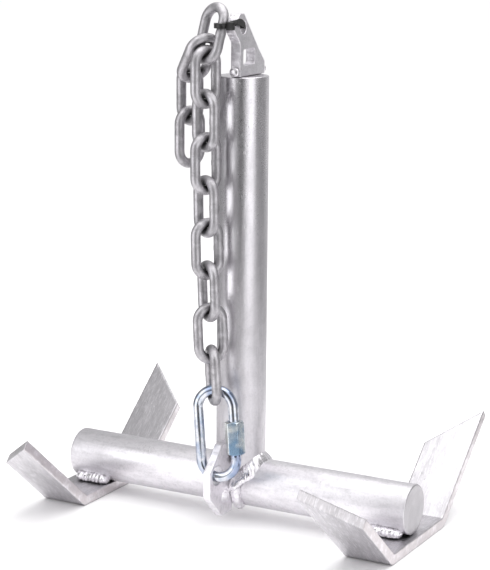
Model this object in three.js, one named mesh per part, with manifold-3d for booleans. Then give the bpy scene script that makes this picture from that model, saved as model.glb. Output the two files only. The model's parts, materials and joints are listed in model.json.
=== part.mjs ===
// A welded steel boat anchor. A round shank stands on a round crossbar, which lies on two bent
// flukes. Twelve links of chain hang in front of the shank: the tie link is held to the eye plate
// by a cable tie, eight links run down from it to a quick link that passes through the crown
// plate, and three links hang from it as a free tail.
// Units are millimetres. +Z is up along the shank, +X runs along the crossbar, and the chain hangs
// on the -Y side. The origin is on the ground, under the middle of the shank.

import * as THREE from 'three';
import { mergeVertices } from 'three/addons/utils/BufferGeometryUtils.js';
import Module from 'manifold-3d';

const wasm = await Module();
wasm.setup();

// ---------------------------------------------------------------- driving dimensions

const GAP = 0.3; // clearance between neighbouring solids

const BAR_RADIUS = 19.05; // round bar of the shank and the crossbar
const BAR_SIDES = 48;
const HOLE_SIDES = 24;
const CROSSBAR_LENGTH = 292.1;
const SHANK_TOP = 339.5;

const FLAT_WIDTH = 38.1; // flat bar of the flukes and the eye plate
const FLAT_THICKNESS = 7.94;
const FLUKE_OUTBOARD_X = 150.9;
const FLUKE_BEND_Y = 47.6; // outer corner of each bend
const FLUKE_ARM_ANGLE = THREE.MathUtils.degToRad(40);
const FLUKE_LONG_EDGE = 105.4; // arm length at its point, along the underside
const FLUKE_OUTER_BEND_RADIUS = 6;
const FLUKE_INNER_BEND_RADIUS = 3;
const BEND_STEPS = 5;
const CROSSBAR_Z = FLAT_THICKNESS + GAP + BAR_RADIUS;

const EYE_PLATE_X = 3.4; // the eye plate is welded a little off the shank's middle
const EYE_PLATE_Y = 0.6;
const EYE_PLATE_Z = SHANK_TOP + GAP;
const EYE_PLATE_HEIGHT = 46;
const CORNER_STEPS = 4;
const EYE_HOLE = { y: -14.2, z: 35.9, radius: 4.75 };
const EYE_NOSE = { tip: -27.8, root: 25, bottom: 34.2, top: 36 }; // tip is a Y, the rest heights
const EYE_TOP = { front: -19.3, back: -12.9, rounding: 3.7, drop: 4.5 };
const EYE_SHOULDER = { y: 9.9, z: 19, foot: 9.5 }; // the back edge bends at y, z and at the foot's height
const EYE_SLOT = { front: -13.6, back: 3.6, bottom: 8.3, top: 19.7, corner: 1.6 };

const CROWN_PLATE_THICKNESS = 6.35;
const CROWN_PLATE_FRONT = -53;
const CROWN_PLATE_BOTTOM = 8.2;
const CROWN_PLATE_TOP = 64.5;
const CROWN_PLATE_CHAMFER = 18;
const CROWN_PLATE_TAIL_Y = -8.5; // where the plate's lower edge runs out under the crossbar
const SHACKLE_HOLE = { y: -42, z: 42.3, radius: 7.5 };
const SPARE_HOLE = { y: -30.1, z: 22.7, radius: 5.3 };

const FOOT_WELD_RADIUS = 6.2;
const FOOT_WELD_SOFTNESS = 0.16; // rounds the saddle curve off where it dips on each side
const FLUKE_WELD = { radius: 5, y: 12.8, z: 11.2, inset: 3.5, length: 30 };
const CROWN_WELD_RADIUS = 4.6;
const CROWN_WELD_SPREAD = 2.2; // from the plate's face to the middle of a bead
const CROWN_LOWER_WELD_ANGLES = [-62, -44, -26, -8]; // degrees round the crossbar's front
const CROWN_UPPER_WELD = { bottom: 45, top: 61 };
const EYE_WELD_RADIUS = 4.2;
const EYE_WELD_BITE = 0.2; // how far its middle lies inside the plate's edge
const EYE_WELD_RISE = 4; // and above the shank's top

const WIRE = 7.6; // chain wire diameter
const LINK_PITCH = 32; // inside length of a link
const LINK_INSIDE_WIDTH = 12.6;
const LINK_STEPS = 28;
const LINK_SIDES = 10;
const STRAND_LINKS = 8;
const TAIL_LINKS = 3;

const QUICK_WIRE = 8;
const QUICK_LENGTH = 75; // outside
const QUICK_WIDTH = 35; // outside
const QUICK_STEPS = 44;
const QUICK_SIDES = 12;
const QUICK_MOUTH = { bottom: -13, top: -5 }; // along the link, measured from its middle
const NUT_FLATS = 13;
const NUT_BOTTOM = -15.8;
const NUT_LENGTH = 25;

const TIE_WIDTH = 3.6;
const TIE_THICKNESS = 1.1;
const TIE_CORNER = 0.8;
const TIE_LEG_ROOM = 1; // between the strap and the tie link's leg
const TIE_PLAY = 0.1; // how far the corners' centres lie inside an offset of the plate's faces
const TIE_LEG_RISE = 2; // how much higher the strap is at the link's leg than in the eye
const TIE_STEP = 2; // longest step along the strap
const TIE_ARCH = 4; // and how far the run beside the lock bows up
const TIE_HEAD = { length: 5.2, height: 5.8, thickness: 4, place: 0.25 }; // place runs from leg to nose

// The chain hangs in a vertical plane that is turned from the crossbar by this angle.
const STRAND_AZIMUTH = THREE.MathUtils.degToRad(-20);
const TIE_LINK_FOOT = new THREE.Vector3(-11.9, -35.3, 352.3); // wire centre at the tie link's foot
const TIE_LINK_TILT = THREE.MathUtils.degToRad(-16);
const STRAND_SWAY = THREE.MathUtils.degToRad(5.9); // lean of the lowest part of the strand
const STRAND_SWAY_POWER = 1.5;
const STRAND_TWIST = THREE.MathUtils.degToRad(28); // how far the lowest link has turned
const STRAND_TWIST_POWER = 2.5;
const LINK_AZIMUTH = THREE.MathUtils.degToRad(71);
const QUICK_AZIMUTH = THREE.MathUtils.degToRad(15);
const QUICK_LIFT = 0.8; // it crosses the last link at less than a right angle, so it rides higher
const TAIL_SIDE_SHIFT = -1.5; // the tail's first link lies over the strand's, in the tie link
const TAIL_RISE = 16.2;
const TAIL_LEAN = THREE.MathUtils.degToRad(38);
const TAIL_BACK_SHIFT = 2;
const TAIL_LEAN_AZIMUTH = THREE.MathUtils.degToRad(150); // it leans back past the strand's side

// ---------------------------------------------------------------- materials

function metal(color, roughness, metalness) {
  return new THREE.MeshStandardMaterial({ color, roughness, metalness });
}

const galvanised = () => metal(0xdcdbdc, 0.42, 0.85);
const galvanisedWeld = () => metal(0xe6e4e3, 0.5, 0.8);
const chainSteel = () => metal(0x9d9b97, 0.5, 0.85);
const zincPlate = () => metal(0xccd0d6, 0.18, 1);
const blackNylon = () => metal(0x121212, 0.45, 0);

// ---------------------------------------------------------------- joining and cutting

function toSolid(geometry) {
  const plain = geometry.clone();
  plain.deleteAttribute('normal');
  plain.deleteAttribute('uv');
  const merged = mergeVertices(plain, 1e-4);
  return new wasm.Manifold(new wasm.Mesh({
    numProp: 3,
    vertProperties: new Float32Array(merged.attributes.position.array),
    triVerts: new Uint32Array(merged.index.array),
  }));
}

function toGeometry(solid) {
  const { vertProperties, triVerts } = solid.getMesh();
  const geometry = new THREE.BufferGeometry();
  geometry.setAttribute('position', new THREE.Float32BufferAttribute(vertProperties, 3));
  geometry.setIndex(Array.from(triVerts));
  geometry.computeVertexNormals();
  return geometry;
}

function cut(geometry, ...cutters) {
  let solid = toSolid(geometry);
  for (const cutter of cutters) solid = solid.subtract(toSolid(cutter));
  return toGeometry(solid);
}

// ---------------------------------------------------------------- shared shapes

const AXIS_X = new THREE.Vector3(1, 0, 0);
const AXIS_Y = new THREE.Vector3(0, 1, 0);
const AXIS_Z = new THREE.Vector3(0, 0, 1);

function barAlongX(radius, length) {
  return new THREE.CylinderGeometry(radius, radius, length, BAR_SIDES)
    .rotateZ(Math.PI / 2)
    .translate(0, 0, CROSSBAR_Z);
}

function barAlongZ(radius, bottom, top) {
  return new THREE.CylinderGeometry(radius, radius, top - bottom, BAR_SIDES)
    .rotateX(Math.PI / 2)
    .translate(0, 0, (bottom + top) / 2);
}

// Extrudes an outline drawn in the Y-Z plane along X, from one x to the other.
function plateAlongX(outline, fromX, toX) {
  const options = { depth: toX - fromX, bevelEnabled: false };
  return new THREE.ExtrudeGeometry(outline, options)
    .applyMatrix4(new THREE.Matrix4().makeBasis(AXIS_Y, AXIS_Z, AXIS_X))
    .translate(fromX, 0, 0);
}

// An outline has to run counterclockwise for its holes to face the right way.
function outlineOf(pairs) {
  const points = pairs.map(([y, z]) => new THREE.Vector2(y, z));
  return new THREE.Shape(THREE.ShapeUtils.isClockWise(points) ? points.reverse() : points);
}

// The points of a drawn path, without the doubled points where its pieces meet.
function pointsOf(path, divisions) {
  const points = path.getPoints(divisions);
  return points.filter((point, i) => {
    const previous = points[(i + points.length - 1) % points.length];
    return point.distanceTo(previous) > 1e-6;
  });
}

function discPoints(radius, sides, x = 0, y = 0) {
  const points = [];
  for (let i = 0; i < sides; i += 1) {
    const angle = (2 * Math.PI * i) / sides;
    points.push(new THREE.Vector2(x + radius * Math.cos(angle), y + radius * Math.sin(angle)));
  }
  return points;
}

function roundHole({ y, z, radius }) {
  return new THREE.Path(discPoints(radius, HOLE_SIDES, y, z));
}

function rodAlong(path, radius, steps, sides) {
  const options = { steps, extrudePath: path, bevelEnabled: false };
  return new THREE.ExtrudeGeometry(new THREE.Shape(discPoints(radius, sides)), options);
}

const clearOfShank = barAlongZ(BAR_RADIUS + GAP, CROSSBAR_Z - BAR_RADIUS, SHANK_TOP + GAP);
const clearOfCrossbar = barAlongX(BAR_RADIUS + GAP, CROSSBAR_LENGTH + 2 * GAP);

// ---------------------------------------------------------------- shank and crossbar

function makeCrossbar() {
  return barAlongX(BAR_RADIUS, CROSSBAR_LENGTH);
}

// The shank's foot is cut to a saddle that sits on the crossbar.
function makeShank() {
  return cut(barAlongZ(BAR_RADIUS, CROSSBAR_Z, SHANK_TOP), clearOfCrossbar);
}

// ---------------------------------------------------------------- flukes

// Rounds the corner between two straight runs of an outline: it draws up to the corner and past it.
function roundCorner(outline, before, corner, after, radius) {
  const into = before.clone().sub(corner).normalize();
  const out = after.clone().sub(corner).normalize();
  const setback = radius / Math.tan(into.angleTo(out) / 2);
  const start = corner.clone().addScaledVector(into, setback);
  const end = corner.clone().addScaledVector(out, setback);
  outline.lineTo(start.x, start.y);
  outline.quadraticCurveTo(corner.x, corner.y, end.x, end.y);
}

function flukeOutline() {
  const reachY = Math.cos(FLUKE_ARM_ANGLE) * FLUKE_LONG_EDGE;
  const reachZ = Math.sin(FLUKE_ARM_ANGLE) * FLUKE_LONG_EDGE;
  const innerBendY = FLUKE_BEND_Y - FLAT_THICKNESS * Math.tan(FLUKE_ARM_ANGLE / 2);
  const capY = FLAT_THICKNESS * Math.sin(FLUKE_ARM_ANGLE);
  const capZ = FLAT_THICKNESS * Math.cos(FLUKE_ARM_ANGLE);

  const frontTip = new THREE.Vector2(-FLUKE_BEND_Y - reachY, reachZ);
  const frontBend = new THREE.Vector2(-FLUKE_BEND_Y, 0);
  const backBend = new THREE.Vector2(FLUKE_BEND_Y, 0);
  const backTip = new THREE.Vector2(FLUKE_BEND_Y + reachY, reachZ);
  const backCap = new THREE.Vector2(backTip.x - capY, backTip.y + capZ);
  const backInner = new THREE.Vector2(innerBendY, FLAT_THICKNESS);
  const frontInner = new THREE.Vector2(-innerBendY, FLAT_THICKNESS);
  const frontCap = new THREE.Vector2(frontTip.x + capY, frontTip.y + capZ);

  const outline = new THREE.Shape().moveTo(frontTip.x, frontTip.y);
  roundCorner(outline, frontTip, frontBend, backBend, FLUKE_OUTER_BEND_RADIUS);
  roundCorner(outline, frontBend, backBend, backTip, FLUKE_OUTER_BEND_RADIUS);
  outline.lineTo(backTip.x, backTip.y);
  outline.lineTo(backCap.x, backCap.y);
  roundCorner(outline, backCap, backInner, frontInner, FLUKE_INNER_BEND_RADIUS);
  roundCorner(outline, backInner, frontInner, frontCap, FLUKE_INNER_BEND_RADIUS);
  outline.lineTo(frontCap.x, frontCap.y);
  return new THREE.Shape(pointsOf(outline, BEND_STEPS));
}

// A wedge that takes a 45 degree corner off an arm. pointX is the edge that keeps its full length.
function armEndCutter(armSide, pointX, bluntX) {
  const margin = 10;
  const outward = Math.sign(bluntX - pointX) * margin;
  const corner = new THREE.Shape([
    new THREE.Vector2(pointX - outward, FLUKE_LONG_EDGE + margin),
    new THREE.Vector2(bluntX + outward, FLUKE_LONG_EDGE - FLAT_WIDTH - margin),
    new THREE.Vector2(bluntX + outward, FLUKE_LONG_EDGE + margin),
  ]);
  const alongArm = new THREE.Vector3(
    0,
    armSide * Math.cos(FLUKE_ARM_ANGLE),
    Math.sin(FLUKE_ARM_ANGLE),
  );
  const acrossArm = new THREE.Vector3().crossVectors(AXIS_X, alongArm);
  const reach = FLAT_THICKNESS + margin;
  return new THREE.ExtrudeGeometry(corner, { depth: 2 * reach, bevelEnabled: false })
    .translate(0, 0, -reach)
    .applyMatrix4(new THREE.Matrix4().makeBasis(AXIS_X, alongArm, acrossArm))
    .translate(0, armSide * FLUKE_BEND_Y, 0);
}

// side is 1 for the fluke at +X and -1 for its mirror image at -X.
function makeFluke(side) {
  const outboardX = side * FLUKE_OUTBOARD_X;
  const inboardX = side * (FLUKE_OUTBOARD_X - FLAT_WIDTH);
  const bar = plateAlongX(
    flukeOutline(),
    Math.min(inboardX, outboardX),
    Math.max(inboardX, outboardX),
  );
  const frontCutter = armEndCutter(-1, inboardX, outboardX);
  const backCutter = armEndCutter(1, outboardX, inboardX);
  return cut(bar, frontCutter, backCutter);
}

// ---------------------------------------------------------------- eye plate and crown plate

function roundedSlot({ front, back, bottom, top, corner }) {
  const slot = new THREE.Path().moveTo(front + corner, bottom);
  slot.absarc(front + corner, bottom + corner, corner, -Math.PI / 2, -Math.PI, true);
  slot.absarc(front + corner, top - corner, corner, Math.PI, Math.PI / 2, true);
  slot.absarc(back - corner, top - corner, corner, Math.PI / 2, 0, true);
  slot.absarc(back - corner, bottom + corner, corner, 0, -Math.PI / 2, true);
  return new THREE.Path(pointsOf(slot, CORNER_STEPS));
}

// growth thickens the plate on every side, for cutting its welds clear of it.
function eyePlateSolid(growth) {
  const half = FLAT_WIDTH / 2 + growth;
  const outline = outlineOf([
    [-half, -growth],
    [-half, EYE_NOSE.root],
    [EYE_NOSE.tip - growth, EYE_NOSE.bottom],
    [EYE_NOSE.tip - growth, EYE_NOSE.top],
    [EYE_TOP.front - EYE_TOP.rounding, EYE_PLATE_HEIGHT - EYE_TOP.drop + growth],
    [EYE_TOP.front, EYE_PLATE_HEIGHT + growth],
    [EYE_TOP.back, EYE_PLATE_HEIGHT + growth],
    [EYE_SHOULDER.y + growth, EYE_SHOULDER.z],
    [half, EYE_SHOULDER.foot],
    [half, -growth],
  ]);
  outline.holes.push(roundHole(EYE_HOLE), roundedSlot(EYE_SLOT));
  const halfThickness = FLAT_THICKNESS / 2 + growth;
  return plateAlongX(outline, -halfThickness, halfThickness)
    .translate(EYE_PLATE_X, EYE_PLATE_Y, EYE_PLATE_Z);
}

function crownPlateSolid(growth) {
  const front = CROWN_PLATE_FRONT;
  const chamfer = CROWN_PLATE_CHAMFER;
  const outline = outlineOf([
    [CROWN_PLATE_TAIL_Y, CROWN_PLATE_BOTTOM - growth],
    [front + chamfer, CROWN_PLATE_BOTTOM - growth],
    [front, CROWN_PLATE_BOTTOM + chamfer],
    [front, CROWN_PLATE_TOP - chamfer],
    [front + chamfer, CROWN_PLATE_TOP + growth],
    [CROWN_PLATE_TAIL_Y, CROWN_PLATE_TOP + growth],
  ]);
  outline.holes.push(roundHole(SHACKLE_HOLE), roundHole(SPARE_HOLE));
  const halfThickness = CROWN_PLATE_THICKNESS / 2 + growth;
  return plateAlongX(outline, -halfThickness, halfThickness);
}

function makeCrownPlate() {
  return cut(crownPlateSolid(0), clearOfShank, clearOfCrossbar);
}

// ---------------------------------------------------------------- welds

// The line where the shank meets the crossbar, with its two dips rounded off.
class SaddleCurve extends THREE.Curve {
  getPoint(t, target = new THREE.Vector3()) {
    const angle = 2 * Math.PI * t;
    const lift = Math.hypot(Math.cos(angle), FOOT_WELD_SOFTNESS);
    return target.set(
      BAR_RADIUS * Math.cos(angle),
      BAR_RADIUS * Math.sin(angle),
      CROSSBAR_Z + BAR_RADIUS * lift,
    );
  }
}

// growth thickens the ring, for cutting the crown plate's beads clear of it.
function footRing(growth) {
  return new THREE.TubeGeometry(new SaddleCurve(), 56, FOOT_WELD_RADIUS + growth, 10, true);
}

function makeFootWeld() {
  return cut(footRing(0), clearOfShank, clearOfCrossbar, crownPlateSolid(GAP));
}

// A bead in the corner between the crossbar and a fluke's flat middle.
function makeFlukeWeld(side, face) {
  const outerX = FLUKE_OUTBOARD_X - FLAT_THICKNESS;
  const bead = rodAlong(
    new THREE.LineCurve3(
      new THREE.Vector3(side * (outerX - FLUKE_WELD.length), face * FLUKE_WELD.y, FLUKE_WELD.z),
      new THREE.Vector3(side * outerX, face * FLUKE_WELD.y, FLUKE_WELD.z),
    ),
    FLUKE_WELD.radius,
    1,
    14,
  );
  const flat = outlineOf([
    [-FLUKE_BEND_Y, -GAP],
    [FLUKE_BEND_Y, -GAP],
    [FLUKE_BEND_Y, FLAT_THICKNESS + GAP],
    [-FLUKE_BEND_Y, FLAT_THICKNESS + GAP],
  ]);
  const clearOfFlat = plateAlongX(flat, -FLUKE_OUTBOARD_X, FLUKE_OUTBOARD_X);
  return cut(bead, clearOfCrossbar, clearOfFlat);
}

// A bead between the crown plate and the front of the crossbar, round its curve.
function makeCrownLowerWeld(side) {
  const x = side * (CROWN_PLATE_THICKNESS / 2 + CROWN_WELD_SPREAD);
  const points = CROWN_LOWER_WELD_ANGLES.map((degrees) => {
    const angle = THREE.MathUtils.degToRad(degrees);
    return new THREE.Vector3(
      x,
      -BAR_RADIUS * Math.cos(angle),
      CROSSBAR_Z + BAR_RADIUS * Math.sin(angle),
    );
  });
  const bead = rodAlong(new THREE.CatmullRomCurve3(points), CROWN_WELD_RADIUS, 8, 10);
  return cut(bead, clearOfCrossbar, crownPlateSolid(GAP), footRing(GAP));
}

// A bead between the crown plate and the front of the shank.
function makeCrownUpperWeld(side) {
  const x = side * (CROWN_PLATE_THICKNESS / 2 + CROWN_WELD_SPREAD);
  const line = new THREE.LineCurve3(
    new THREE.Vector3(x, -BAR_RADIUS, CROWN_UPPER_WELD.bottom),
    new THREE.Vector3(x, -BAR_RADIUS, CROWN_UPPER_WELD.top),
  );
  return cut(rodAlong(line, CROWN_WELD_RADIUS, 1, 12), clearOfShank, crownPlateSolid(GAP));
}

// A lump of weld at the front (-1) or back (1) edge of the eye plate, on the shank's top.
function makeEyeWeld(face) {
  const y = EYE_PLATE_Y + face * (FLAT_WIDTH / 2 - EYE_WELD_BITE);
  const z = SHANK_TOP + EYE_WELD_RISE;
  const line = new THREE.LineCurve3(
    new THREE.Vector3(EYE_PLATE_X - EYE_WELD_RADIUS, y, z),
    new THREE.Vector3(EYE_PLATE_X + EYE_WELD_RADIUS, y, z),
  );
  return cut(rodAlong(line, EYE_WELD_RADIUS, 1, 14), clearOfShank, eyePlateSolid(GAP));
}

// ---------------------------------------------------------------- chain links

// A loop with two straight legs and two half-round ends, upright in the X-Z plane. It starts in the
// middle of the leg at +X and runs upwards.
class LinkLoop extends THREE.Curve {
  constructor(legLength, endRadius) {
    super();
    this.legLength = legLength;
    this.endRadius = endRadius;
  }

  getPoint(t, target = new THREE.Vector3()) {
    const halfLeg = this.legLength / 2;
    const arc = Math.PI * this.endRadius;
    const run = t * 2 * (this.legLength + arc);
    if (run < halfLeg) return target.set(this.endRadius, 0, run);
    if (run < halfLeg + arc) return this.onEnd(run - halfLeg, 1, target);
    if (run < 3 * halfLeg + arc) return target.set(-this.endRadius, 0, 2 * halfLeg + arc - run);
    if (run < 3 * halfLeg + 2 * arc) return this.onEnd(run - 3 * halfLeg - arc, -1, target);
    return target.set(this.endRadius, 0, run - 4 * halfLeg - 2 * arc);
  }

  // A point on the top end (1) or the bottom end (-1), at a distance along its half circle.
  onEnd(distance, end, target) {
    const angle = distance / this.endRadius;
    return target.set(
      end * this.endRadius * Math.cos(angle),
      0,
      end * (this.legLength / 2 + this.endRadius * Math.sin(angle)),
    );
  }
}

const LINK_END_RADIUS = (LINK_INSIDE_WIDTH + WIRE) / 2;
const LINK_HALF = (LINK_PITCH + WIRE) / 2; // from a link's middle to the wire centre at an end
const linkLoop = new LinkLoop(2 * (LINK_HALF - LINK_END_RADIUS), LINK_END_RADIUS);
const linkGeometry = new THREE.TubeGeometry(linkLoop, LINK_STEPS, WIRE / 2, LINK_SIDES, true);

// ---------------------------------------------------------------- quick link

const QUICK_END_RADIUS = (QUICK_WIDTH - QUICK_WIRE) / 2;
const QUICK_HALF = (QUICK_LENGTH - QUICK_WIRE) / 2;
const quickLoop = new LinkLoop(2 * (QUICK_HALF - QUICK_END_RADIUS), QUICK_END_RADIUS);

// The open part of a loop, from one share of its length to another, past its start if need be.
class PartOfLoop extends THREE.Curve {
  constructor(loop, from, to) {
    super();
    this.loop = loop;
    this.from = from;
    this.to = to;
  }

  getPoint(t, target = new THREE.Vector3()) {
    const share = this.from + (this.to - this.from) * t;
    return this.loop.getPoint(THREE.MathUtils.euclideanModulo(share, 1), target);
  }
}

// The wire is open between the two sides of its mouth, in the leg at +X, where the nut covers it.
function makeQuickLink() {
  const around = quickLoop.getLength();
  const wire = new PartOfLoop(quickLoop, QUICK_MOUTH.top / around, 1 + QUICK_MOUTH.bottom / around);
  return rodAlong(wire, QUICK_WIRE / 2, QUICK_STEPS, QUICK_SIDES);
}

function makeSleeveNut() {
  const outline = new THREE.Shape(discPoints(NUT_FLATS / Math.sqrt(3), 6));
  outline.holes.push(new THREE.Path(discPoints(QUICK_WIRE / 2 + GAP, HOLE_SIDES)));
  return new THREE.ExtrudeGeometry(outline, { depth: NUT_LENGTH, bevelEnabled: false })
    .translate(QUICK_END_RADIUS, 0, NUT_BOTTOM);
}

// ---------------------------------------------------------------- where the links hang

const alongStrand = new THREE.Vector3(Math.cos(STRAND_AZIMUTH), Math.sin(STRAND_AZIMUTH), 0);
const acrossStrand = new THREE.Vector3(-Math.sin(STRAND_AZIMUTH), Math.cos(STRAND_AZIMUTH), 0);

// A turn about the vertical, then a tilt about a level axis.
function linkTurn(azimuth, tiltAxis, tilt) {
  const turn = new THREE.Quaternion().setFromAxisAngle(AXIS_Z, azimuth);
  return new THREE.Quaternion().setFromAxisAngle(tiltAxis, tilt).multiply(turn);
}

// Hangs a link so that the wire centre of its top end is at head. foot is that of its bottom end.
function hang(head, turn, half) {
  const up = AXIS_Z.clone().applyQuaternion(turn);
  return {
    turn,
    middle: head.clone().addScaledVector(up, -half),
    foot: head.clone().addScaledVector(up, -2 * half),
  };
}

// Where the next link's head goes: its wire lies over the wire at this foot.
function headOver(foot, upperWire, lowerWire) {
  return foot.clone().addScaledVector(AXIS_Z, (upperWire + lowerWire) / 2 + GAP);
}

function placeTieLink() {
  const turn = linkTurn(STRAND_AZIMUTH, alongStrand, TIE_LINK_TILT);
  const up = AXIS_Z.clone().applyQuaternion(turn);
  return hang(TIE_LINK_FOOT.clone().addScaledVector(up, 2 * LINK_HALF), turn, LINK_HALF);
}

// Neighbouring links are turned a quarter turn from each other, and the strand leans and twists
// more and more towards its foot.
function placeStrand(tieLink) {
  const places = [];
  let foot = tieLink.foot;
  for (let k = 1; k <= STRAND_LINKS; k += 1) {
    const share = (k - 1) / STRAND_LINKS;
    const sway = STRAND_SWAY * share ** STRAND_SWAY_POWER;
    const twist = STRAND_TWIST * (k / STRAND_LINKS) ** STRAND_TWIST_POWER;
    const quarter = k % 2 === 0 ? Math.PI / 2 : 0;
    const turn = linkTurn(LINK_AZIMUTH - twist - quarter, acrossStrand, -sway);
    const place = hang(headOver(foot, WIRE, WIRE), turn, LINK_HALF);
    places.push(place);
    foot = place.foot;
  }
  return places;
}

function placeQuickLink(lastLink) {
  const turn = linkTurn(QUICK_AZIMUTH, acrossStrand, -STRAND_SWAY);
  const head = headOver(lastLink.foot, WIRE, QUICK_WIRE).addScaledVector(AXIS_Z, QUICK_LIFT);
  return hang(head, turn, QUICK_HALF);
}

// The first tail link leans away from the strand on the tie link's side. The others hang straight.
function placeTail(tieLink) {
  const head = tieLink.foot.clone()
    .addScaledVector(alongStrand, TAIL_SIDE_SHIFT)
    .addScaledVector(acrossStrand, TAIL_BACK_SHIFT)
    .addScaledVector(AXIS_Z, TAIL_RISE);
  const firstAzimuth = TAIL_LEAN_AZIMUTH - Math.PI / 2;
  const leanAxis = new THREE.Vector3(Math.cos(firstAzimuth), Math.sin(firstAzimuth), 0);
  const places = [hang(head, linkTurn(firstAzimuth, leanAxis, TAIL_LEAN), LINK_HALF)];
  for (let k = 2; k <= TAIL_LINKS; k += 1) {
    const quarter = k % 2 === 0 ? 0 : Math.PI / 2;
    const turn = linkTurn(STRAND_AZIMUTH + quarter, acrossStrand, 0);
    places.push(hang(headOver(places[k - 2].foot, WIRE, WIRE), turn, LINK_HALF));
  }
  return places;
}

// ---------------------------------------------------------------- cable tie

// The outline of a belt drawn tight round circles, which are listed counterclockwise.
function beltPath(circles) {
  const path = new THREE.Path();
  const leave = circles.map((circle, i) => {
    const next = circles[(i + 1) % circles.length];
    const dx = next.x - circle.x;
    const dy = next.y - circle.y;
    return Math.atan2(dy, dx) - Math.acos((circle.radius - next.radius) / Math.hypot(dx, dy));
  });
  circles.forEach((circle, i) => {
    const arrive = leave[(i + circles.length - 1) % circles.length];
    path.absarc(circle.x, circle.y, circle.radius, arrive, leave[i], false);
  });
  return pointsOf(path, CORNER_STEPS * 2);
}

// The belt goes round the tie link's leg and, through the eye, round the nose of the eye plate.
function tieCircles(legCentre, growth) {
  const side = FLAT_THICKNESS / 2 + TIE_CORNER - TIE_PLAY;
  const noseY = EYE_PLATE_Y + EYE_NOSE.tip + TIE_CORNER - GAP;
  const holeY = EYE_PLATE_Y + EYE_HOLE.y - EYE_HOLE.radius + 2 * TIE_CORNER;
  const radius = TIE_CORNER + growth;
  return [
    { x: legCentre.x, y: legCentre.y, radius: WIRE / 2 + TIE_LEG_ROOM + growth },
    { x: EYE_PLATE_X + side, y: noseY, radius },
    { x: EYE_PLATE_X + side, y: holeY, radius },
    { x: EYE_PLATE_X - side, y: holeY, radius },
  ];
}

// The same closed outline, with points added along its long straight runs.
function withShortSteps(points, step) {
  return points.flatMap((point, i) => {
    const next = points[(i + 1) % points.length];
    const pieces = Math.ceil(point.distanceTo(next) / step);
    return Array.from({ length: pieces }, (_, k) => point.clone().lerp(next, k / pieces));
  });
}

function makeTieStrap(legCentre) {
  const outside = withShortSteps(beltPath(tieCircles(legCentre, TIE_THICKNESS)), TIE_STEP);
  const inside = withShortSteps(beltPath(tieCircles(legCentre, 0)), TIE_STEP);
  const outline = new THREE.Shape(outside);
  outline.holes.push(new THREE.Path(inside));
  const strap = new THREE.ExtrudeGeometry(outline, { depth: TIE_WIDTH, bevelEnabled: false });
  const points = strap.attributes.position;
  for (let i = 0; i < points.count; i += 1) {
    const rise = tieRise(points.getX(i), points.getY(i), legCentre);
    points.setZ(i, points.getZ(i) + rise + legCentre.z - TIE_WIDTH / 2);
  }
  return strap;
}

// How far the strap rides above the middle of the eye. Only its run at the eye plate's +X face bows.
function tieRise(x, y, legCentre) {
  const hole = EYE_PLATE_Y + EYE_HOLE.y;
  const along = THREE.MathUtils.clamp((y - legCentre.y) / (hole - legCentre.y), 0, 1);
  const bow = x > legCentre.x ? TIE_ARCH * Math.sin(Math.PI * along) : 0;
  return TIE_LEG_RISE * (1 - along) + bow;
}

// The tie's lock, on the outside of the strap between the leg and the nose.
function placeTieHead(legCentre) {
  const [leg, nose] = tieCircles(legCentre, TIE_THICKNESS + GAP + TIE_HEAD.thickness / 2);
  const dx = nose.x - leg.x;
  const dy = nose.y - leg.y;
  const normal = Math.atan2(dy, dx) - Math.acos((leg.radius - nose.radius) / Math.hypot(dx, dy));
  const start = new THREE.Vector3(Math.cos(normal), Math.sin(normal), 0)
    .multiplyScalar(leg.radius)
    .add(legCentre);
  const end = new THREE.Vector3(Math.cos(normal), Math.sin(normal), 0)
    .multiplyScalar(nose.radius)
    .add(new THREE.Vector3(nose.x, nose.y, legCentre.z));
  const middle = start.lerp(end, TIE_HEAD.place);
  middle.z += tieRise(middle.x, middle.y, legCentre);
  return { middle, angle: normal + Math.PI / 2 };
}

// The centre of the tie link's right leg, at the height of the eye.
function tieLegCentre(tieLink) {
  const up = AXIS_Z.clone().applyQuaternion(tieLink.turn);
  const leg = tieLink.middle.clone().addScaledVector(alongStrand, LINK_END_RADIUS);
  const height = EYE_PLATE_Z + EYE_HOLE.z;
  return leg.addScaledVector(up, (height - leg.z) / up.z);
}

// ---------------------------------------------------------------- the anchor

const anchor = new THREE.Group();

function add(parent, name, geometry, material) {
  const mesh = new THREE.Mesh(geometry, material);
  mesh.name = name;
  parent.add(mesh);
  return mesh;
}

function addHanging(name, geometry, material, place) {
  const mesh = add(anchor, name, geometry, material);
  mesh.position.copy(place.middle);
  mesh.quaternion.copy(place.turn);
  return mesh;
}

add(anchor, 'shank', makeShank(), galvanised());
add(anchor, 'crossbar', makeCrossbar(), galvanised());
add(anchor, 'eye_plate', eyePlateSolid(0), galvanised());
add(anchor, 'crown_plate', makeCrownPlate(), galvanised());
add(anchor, 'shank_foot_weld', makeFootWeld(), galvanisedWeld());
for (const [sideName, side] of [['left', -1], ['right', 1]]) {
  add(anchor, `fluke_${sideName}`, makeFluke(side), galvanised());
  add(anchor, `fluke_${sideName}_front_weld`, makeFlukeWeld(side, -1), galvanisedWeld());
  add(anchor, `fluke_${sideName}_back_weld`, makeFlukeWeld(side, 1), galvanisedWeld());
  add(anchor, `crown_plate_lower_weld_${sideName}`, makeCrownLowerWeld(side), galvanisedWeld());
  add(anchor, `crown_plate_upper_weld_${sideName}`, makeCrownUpperWeld(side), galvanisedWeld());
}
add(anchor, 'eye_plate_front_weld', makeEyeWeld(-1), galvanisedWeld());
add(anchor, 'eye_plate_back_weld', makeEyeWeld(1), galvanisedWeld());

const tieLink = placeTieLink();
const strand = placeStrand(tieLink);
const quickPlace = placeQuickLink(strand[STRAND_LINKS - 1]);
const legCentre = tieLegCentre(tieLink);
const headPlace = placeTieHead(legCentre);

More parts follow.
